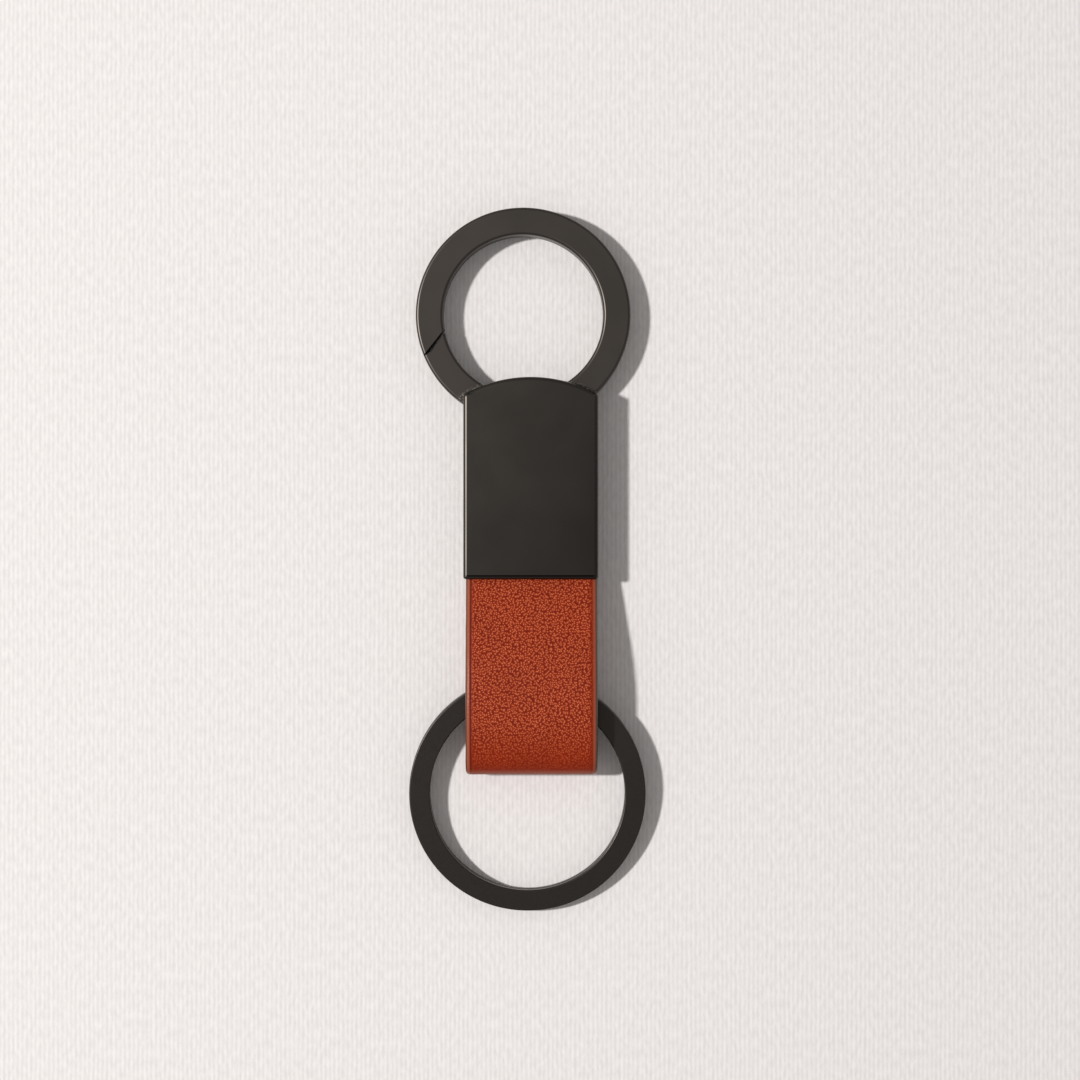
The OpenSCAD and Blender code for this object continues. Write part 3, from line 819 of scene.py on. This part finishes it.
strap_length = spline.calc_length()
print("the strip is cut", round(strap_length / MM, 1), "mm long")

# %% [markdown]
# The strip itself starts flat, as a box with the strap's width and thickness. Its long edges are
# rounded. Bisecting adds the two crease lines along the grain side, and they are pushed in, which
# leaves the shallow groove that a creasing iron leaves.

# %% Cut the strip flat and crease it
GRAIN_EDGE_R = 0.5 * MM
FLESH_EDGE_R = 0.3 * MM
CREASE_HALF = 0.1 * MM
CREASE_DEPTH = 0.03 * MM
half_w = STRAP_W / 2
strap = new_piece("leather_strap", bpy.ops.mesh.primitive_cube_add, (strap_length, STRAP_W, STRAP_T),
                  size=1, location=(strap_length / 2, 0, 0))
round_edges(strap, GRAIN_EDGE_R, 5, lambda at, way: abs(way.x) > 0.99 and at.z > 0)
round_edges(strap, FLESH_EDGE_R, 3, lambda at, way: abs(way.x) > 0.99 and near(at.z, -STRAP_T / 2))
bpy.ops.object.mode_set(mode="EDIT")
crease_y = half_w - CREASE_IN
lines = [side * (crease_y + off) for side in (-1, 1) for off in (-CREASE_HALF, 0, CREASE_HALF)]
ACROSS = 44
lines += [crease_y * 0.94 * (2 * k / ACROSS - 1) for k in range(ACROSS + 1)]
for line in lines:
    bpy.ops.mesh.select_all(action="SELECT")
    bpy.ops.mesh.bisect(plane_co=(0, line, 0), plane_no=(0, 1, 0), threshold=HAIR)
pick_edges(strap, lambda at, way: abs(way.x) > 0.99 and near(abs(at.y), crease_y) and at.z > 0)
bpy.ops.transform.translate(value=(0, 0, -CREASE_DEPTH))
for cuts in (15, 15):
    pick_edges(strap, lambda at, way: abs(way.x) > 0.99)
    bpy.ops.mesh.subdivide(number_cuts=cuts)
bpy.ops.object.mode_set(mode="OBJECT")
print("the flat strip has", len(strap.data.polygons), "faces")

# %% [markdown]
# Leather is never quite flat, so the strip gets a faint unevenness from a Displace modifier with a
# cloud texture: a few hundredths of a millimetre, over patches of a few millimetres. Its flat
# coordinates are then kept as the attribute "cut", and the Curve modifier folds it along the path.

# %% Make it uneven, remember where it was cut, and fold it
clouds = bpy.data.textures.new("leather_unevenness", "CLOUDS")
clouds.noise_scale = 3.5 * MM
clouds.noise_depth = 2
apply_modifier(strap, "DISPLACE", texture=clouds, texture_coords="LOCAL", strength=0.07 * MM,
               mid_level=0.5)
cut = strap.data.attributes.new("cut", "FLOAT_VECTOR", "POINT")
cut.data.foreach_set("vector", [value for vertex in strap.data.vertices for value in vertex.co])
apply_modifier(strap, "CURVE", object=path, deform_axis="POS_X")
bpy.data.objects.remove(path)
kept = strap.data.attributes["cut"].data
places = [(kept[vertex.index].vector.x, vertex.co) for vertex in strap.data.vertices]
STRETCH_FROM_Y, STRETCH_TO_Y = -20.5 * MM, -26.5 * MM
fold_from = min(x for x, at in places if at.y < STRETCH_FROM_Y)
fold_to = min(x for x, at in places if at.y < STRETCH_TO_Y)
fold_end = min(places, key=lambda place: place[1].y)[0]
print("the fold runs from", round(fold_from / MM, 1), "to", round(fold_to / MM, 1), "mm of the strip")

# %% [markdown]
# The grain side is coloured with aniline dye, which lets the leather's own variation show: pits are
# darker, and there are slow changes of tone. The very tips of the pebbles are painted much lighter,
# which is a painted highlight. A light wax finish gives it a soft sheen. The colour and the bump both
# come from the same pebble height, as on real leather, where dye pools in the pits. The crease is burnt
# darker, and a shade deeper along one side. Outside the creases the colour is painted paler, partly
# dye rubbed paler and partly a painted highlight on the rounded rims, which are polished by handling.
# Along the outermost line of the fold it is painted paler too, as a painted reflection.

# %% Material: pebble-grained, vegetable-tanned leather
PEBBLE = 0.28 * MM
leather, tree, shader = start_material("pebble_grain_leather", "#8C2607", 0.0, 0.45)
shader.inputs["IOR"].default_value = 1.5
shader.inputs["Specular IOR Level"].default_value = 0.15
SMOOTHED = 0.12
flat = add_node(tree, "ShaderNodeAttribute", attribute_name="cut").outputs["Vector"]
wander = add_node(tree, "ShaderNodeTexNoise", {"Vector": flat, "Scale": 1 / (0.6 * MM), "Detail": 2})
shift = add_node(tree, "ShaderNodeVectorMath", {
    0: wander.outputs["Color"], 1: (0.12 * MM,) * 3, 2: flat}, operation="MULTIPLY_ADD")
pebbles = add_node(tree, "ShaderNodeTexVoronoi", {
    "Vector": shift.outputs["Vector"], "Scale": 1 / PEBBLE}, voronoi_dimensions="2D")
fine = add_node(tree, "ShaderNodeTexNoise", {"Vector": flat, "Scale": 1 / (0.9 * MM), "Detail": 2})
dome = add_node(tree, "ShaderNodeMapRange", {
    "Value": pebbles.outputs["Distance"], "From Min": 0, "From Max": 0.75,
    "To Min": 1, "To Max": 0})
both = add_node(tree, "ShaderNodeMix", {
    "Factor": 0.12, "A": dome.outputs["Result"], "B": fine.outputs["Fac"]})
across = add_node(tree, "ShaderNodeSeparateXYZ", {"Vector": flat})
from_middle = add_node(tree, "ShaderNodeMath", {0: across.outputs["Y"]}, operation="ABSOLUTE")
inside_edge = add_node(tree, "ShaderNodeMapRange", {
    "Value": from_middle.outputs["Value"], "From Min": crease_y - 0.5 * MM,
    "From Max": crease_y, "To Min": 1, "To Max": 0.2})
before_fold = add_node(tree, "ShaderNodeMapRange", {
    "Value": across.outputs["X"], "From Min": fold_from, "From Max": fold_to,
    "To Min": 1, "To Max": SMOOTHED})
past_fold = add_node(tree, "ShaderNodeMapRange", {
    "Value": across.outputs["X"], "From Min": fold_end + 2 * MM, "From Max": fold_end + 6 * MM,
    "To Min": SMOOTHED, "To Max": 1})
off_fold = add_node(tree, "ShaderNodeMath", {
    0: before_fold.outputs["Result"], 1: past_fold.outputs["Result"]}, operation="MAXIMUM")
depth = add_node(tree, "ShaderNodeMath", {
    0: inside_edge.outputs["Result"], 1: off_fold.outputs["Value"]}, operation="MULTIPLY")
grain = add_node(tree, "ShaderNodeMath", {
    0: both.outputs["Result"], 1: depth.outputs["Value"]}, operation="MULTIPLY")
pit = add_node(tree, "ShaderNodeMapRange", {
    "Value": both.outputs["Result"], "From Min": 0.1, "From Max": 0.45})
pooled = add_node(tree, "ShaderNodeMix", {
    "Factor": pit.outputs["Result"], 6: linear("#771C08"), 7: linear("#992F0E")}, data_type="RGBA")
# Painted highlight: the very tips of the pebbles are painted much lighter.
tip_highlight = add_node(tree, "ShaderNodeMapRange", {
    "Value": both.outputs["Result"], "From Min": 0.58, "From Max": 0.92})
dye_and_tip_highlight = add_node(tree, "ShaderNodeMix", {
    "Factor": tip_highlight.outputs["Result"], 6: pooled.outputs[2], 7: linear("#F0895A")}, data_type="RGBA")
plain = add_node(tree, "ShaderNodeMix", {
    "Factor": depth.outputs["Value"], 6: linear("#8C2607"), 7: dye_and_tip_highlight.outputs[2]}, data_type="RGBA")
slow = add_node(tree, "ShaderNodeTexNoise", {"Vector": flat, "Scale": 1 / (5 * MM), "Detail": 2})
drift = add_node(tree, "ShaderNodeMapRange", {
    "Value": slow.outputs["Fac"], "From Min": 0.3, "From Max": 0.7, "To Min": 0.95, "To Max": 1.05})
toned = add_node(tree, "ShaderNodeMix", {
    "Factor": 1.0, 6: plain.outputs[2], 7: drift.outputs["Result"]},
    data_type="RGBA", blend_type="MULTIPLY")
from_crease = add_node(tree, "ShaderNodeMath", {
    0: from_middle.outputs["Value"], 1: crease_y}, operation="SUBTRACT")
crease_gap = add_node(tree, "ShaderNodeMath", {0: from_crease.outputs["Value"]}, operation="ABSOLUTE")
burnt = add_node(tree, "ShaderNodeMapRange", {
    "Value": crease_gap.outputs["Value"], "From Min": 0.04 * MM, "From Max": 0.14 * MM,
    "To Min": 0.75, "To Max": 0})
heavier = add_node(tree, "ShaderNodeMapRange", {
    "Value": across.outputs["Y"], "From Min": -crease_y, "From Max": crease_y, "To Min": 1, "To Max": 0.25})
pressed = add_node(tree, "ShaderNodeMath", {
    0: burnt.outputs["Result"], 1: heavier.outputs["Result"]}, operation="MULTIPLY")
creased = add_node(tree, "ShaderNodeMix", {
    "Factor": pressed.outputs["Value"], 6: toned.outputs[2], 7: linear("#4E1808")}, data_type="RGBA")
# Outside the creases the colour is painted paler: partly dye rubbed paler, partly a painted highlight on
# the rounded rim.
rim = add_node(tree, "ShaderNodeMapRange", {
    "Value": from_middle.outputs["Value"], "From Min": crease_y + 0.05 * MM,
    "From Max": crease_y + 0.25 * MM, "To Min": 0, "To Max": 0.8})
# Along the outermost line of the fold the colour is painted paler as a painted reflection.
from_fold = add_node(tree, "ShaderNodeMath", {
    0: across.outputs["X"], 1: fold_end}, operation="SUBTRACT")
fold_gap = add_node(tree, "ShaderNodeMath", {0: from_fold.outputs["Value"]}, operation="ABSOLUTE")
fold_rim = add_node(tree, "ShaderNodeMapRange", {
    "Value": fold_gap.outputs["Value"], "From Min": 0.9 * MM, "From Max": 1.5 * MM,
    "To Min": 0.7, "To Max": 0})
outside = add_node(tree, "ShaderNodeMath", {
    0: rim.outputs["Result"], 1: fold_rim.outputs["Result"]}, operation="MAXIMUM")
# The paler colour of the rims and the fold line: rubbed dye, painted highlight and painted reflection.
rubbed_and_painted_light = add_node(tree, "ShaderNodeMix", {
    "Factor": outside.outputs["Value"], 6: creased.outputs[2], 7: linear("#A25840")}, data_type="RGBA")
tree.links.new(rubbed_and_painted_light.outputs[2], shader.inputs["Base Color"])
bump = add_node(tree, "ShaderNodeBump", {
    "Height": grain.outputs["Value"], "Strength": 1.0, "Distance": 0.035 * MM})
tree.links.new(bump.outputs["Normal"], shader.inputs["Normal"])
polish = add_node(tree, "ShaderNodeMapRange", {
    "Value": from_middle.outputs["Value"], "From Min": crease_y, "From Max": crease_y + 0.1 * MM,
    "To Min": 0.45, "To Max": 0.28})
tree.links.new(polish.outputs["Result"], shader.inputs["Roughness"])
print("made", leather.name)

# %% [markdown]
# The edges are painted with a reddish brown edge paint, laid on in coats and rubbed smooth, so it
# has its own soft gloss. The flesh side, inside the loop, is bare leather: paler, matt and fibrous.

# %% Materials: edge paint and bare flesh side
edge_paint, tree, shader = start_material("rubbed_edge_paint", "#5E3A2B", 0.0, 0.34)
flat = add_node(tree, "ShaderNodeAttribute", attribute_name="cut").outputs["Vector"]
ripple = add_node(tree, "ShaderNodeTexNoise", {"Vector": flat, "Scale": 1 / (0.6 * MM), "Detail": 2})
bump = add_node(tree, "ShaderNodeBump", {
    "Height": ripple.outputs["Fac"], "Strength": 0.4, "Distance": 0.03 * MM})
tree.links.new(bump.outputs["Normal"], shader.inputs["Normal"])

flesh, tree, shader = start_material("bare_flesh_side_leather", "#8C6244", 0.0, 0.9)
flat = add_node(tree, "ShaderNodeAttribute", attribute_name="cut").outputs["Vector"]
fibre_space = add_node(tree, "ShaderNodeMapping", {"Vector": flat, "Scale": (1.0, 2.2, 1.0)})
fibres = add_node(tree, "ShaderNodeTexNoise", {
    "Vector": fibre_space.outputs["Vector"], "Scale": 1 / (0.35 * MM), "Detail": 5})
fibre_tone = add_node(tree, "ShaderNodeMix", {
    "Factor": fibres.outputs["Fac"], 6: linear("#734C33"), 7: linear("#A97D5C")}, data_type="RGBA")
tree.links.new(fibre_tone.outputs[2], shader.inputs["Base Color"])
bump = add_node(tree, "ShaderNodeBump", {
    "Height": fibres.outputs["Fac"], "Strength": 0.7, "Distance": 0.08 * MM})
tree.links.new(bump.outputs["Normal"], shader.inputs["Normal"])
print("made", edge_paint.name, "and", flesh.name)

# %% [markdown]
# The three materials go on by place: the paint on the edge faces, down from where they turn steep,
# the flesh finish on the inner side, and the grain on the rest. The faces are sorted by where they
# were on the flat strip. At last the frame's strap nodes are hidden, and the strap takes their place.

# %% Dress the strap and hide the frame's strap nodes
PAINT_IN = 0.24 * MM
for material in (leather, edge_paint, flesh):
    strap.data.materials.append(material)
for face in strap.data.polygons:
    flat_places = [kept[index].vector for index in face.vertices]
    middle = sum(flat_places, Vector()) / len(flat_places)
    if abs(middle.y) > half_w - PAINT_IN:
        face.material_index = 1
    elif middle.z < 0:
        face.material_index = 2
bpy.ops.object.shade_smooth_by_angle(angle=math.radians(50))
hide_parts("strap_tail_upper", "strap_tail_lower", "strap_loop")
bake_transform(strap)
print("the strap has", len(strap.data.polygons), "faces")

# %% [markdown]
# ## Stage, light and camera
# The fob lies on a plain sheet of warm white laid paper, with fine fibres and faint ribs that both
# run along the fob. One key light stands at the left and rather high. It is a small disc, far
# enough away to draw clear shadows with a soft edge, and a pale room fills them in. A wave texture's
# bands repeat every pi / 10 of its own units, which sets the ribs' scale.

# %% The floor
FLOOR = 1500 * MM
RIB = 0.57 * MM
floor = new_piece("floor", bpy.ops.mesh.primitive_plane_add, size=FLOOR, location=(0, 0, 0))
paper, tree, shader = start_material("warm_white_paper", "#F1EDEC", 0.0, 0.9)
place = add_node(tree, "ShaderNodeTexCoord").outputs["Object"]
grain_way = add_node(tree, "ShaderNodeMapping", {"Vector": place, "Scale": (1.0, 0.4, 1.0)})
fibre = add_node(tree, "ShaderNodeTexNoise", {
    "Vector": grain_way.outputs["Vector"], "Scale": 1 / (0.5 * MM), "Detail": 3})
ribs = add_node(tree, "ShaderNodeTexWave", {
    "Vector": place, "Scale": math.pi / (10 * RIB), "Distortion": 1.2, "Detail Scale": 0.5})
relief = add_node(tree, "ShaderNodeMix", {
    "Factor": 0.22, "A": fibre.outputs["Fac"], "B": ribs.outputs["Fac"]})
fibre_tone = add_node(tree, "ShaderNodeMapRange", {
    "Value": relief.outputs["Result"], "From Min": 0.3, "From Max": 0.7})
tone = add_node(tree, "ShaderNodeMix", {
    "Factor": fibre_tone.outputs["Result"], 6: linear("#E9E5E4"), 7: linear("#F9F5F4")}, data_type="RGBA")
tree.links.new(tone.outputs[2], shader.inputs["Base Color"])
bump = add_node(tree, "ShaderNodeBump", {
    "Height": relief.outputs["Result"], "Strength": 0.5, "Distance": 0.06 * MM})
tree.links.new(bump.outputs["Normal"], shader.inputs["Normal"])
floor.data.materials.append(paper)
print("the floor is", FLOOR, "m across, with ribs", round(RIB / MM, 2), "mm apart")

# %% [markdown]
# The key light's direction fixes where the shadows fall: to the right, three quarters of a piece's
# height away from it. Its distance and diameter together set how soft their edges are.

# %% The lights
KEY_DISTANCE = 1.2
KEY_DIAMETER = 0.085
KEY_POWER = 11.5
towards_key = Vector((-0.77, 0.089, 1)).normalized()
key_data = bpy.data.lights.new("key", "AREA")
key_data.shape = "DISK"
key_data.size = KEY_DIAMETER
key_data.energy = KEY_POWER
key_data.color = (1.0, 0.985, 0.97)
key = bpy.data.objects.new("key", key_data)
key.location = KEY_DISTANCE * towards_key
key.rotation_euler = towards_key.to_track_quat("Z", "Y").to_euler()
bpy.context.collection.objects.link(key)

world = bpy.data.worlds.new("pale_room")
world.use_nodes = True
room = world.node_tree.nodes["Background"]
room.inputs["Color"].default_value = linear("#F2F0EE")
room.inputs["Strength"].default_value = 0.36
bpy.context.scene.world = world
print("the key light is", round(math.degrees(math.asin(towards_key.z))), "degrees up")

# %% [markdown]
# The camera looks straight down from about 35 cm, with the fob's long axis upright in the view.

# %% The camera
CAMERA_HEIGHT = 0.349
LENS = 91
SENSOR = 36
camera_data = bpy.data.cameras.new("camera")
camera_data.lens = LENS
camera_data.sensor_width = SENSOR
camera_data.clip_start = 0.01
camera = bpy.data.objects.new("camera", camera_data)
camera.location = (1.165 * MM, 2.5 * MM, CAMERA_HEIGHT)
bpy.context.collection.objects.link(camera)
bpy.context.scene.camera = camera
bpy.context.scene.view_settings.view_transform = "Standard"
print("the view is", round(SENSOR / LENS * CAMERA_HEIGHT / MM, 1), "mm wide at the floor")
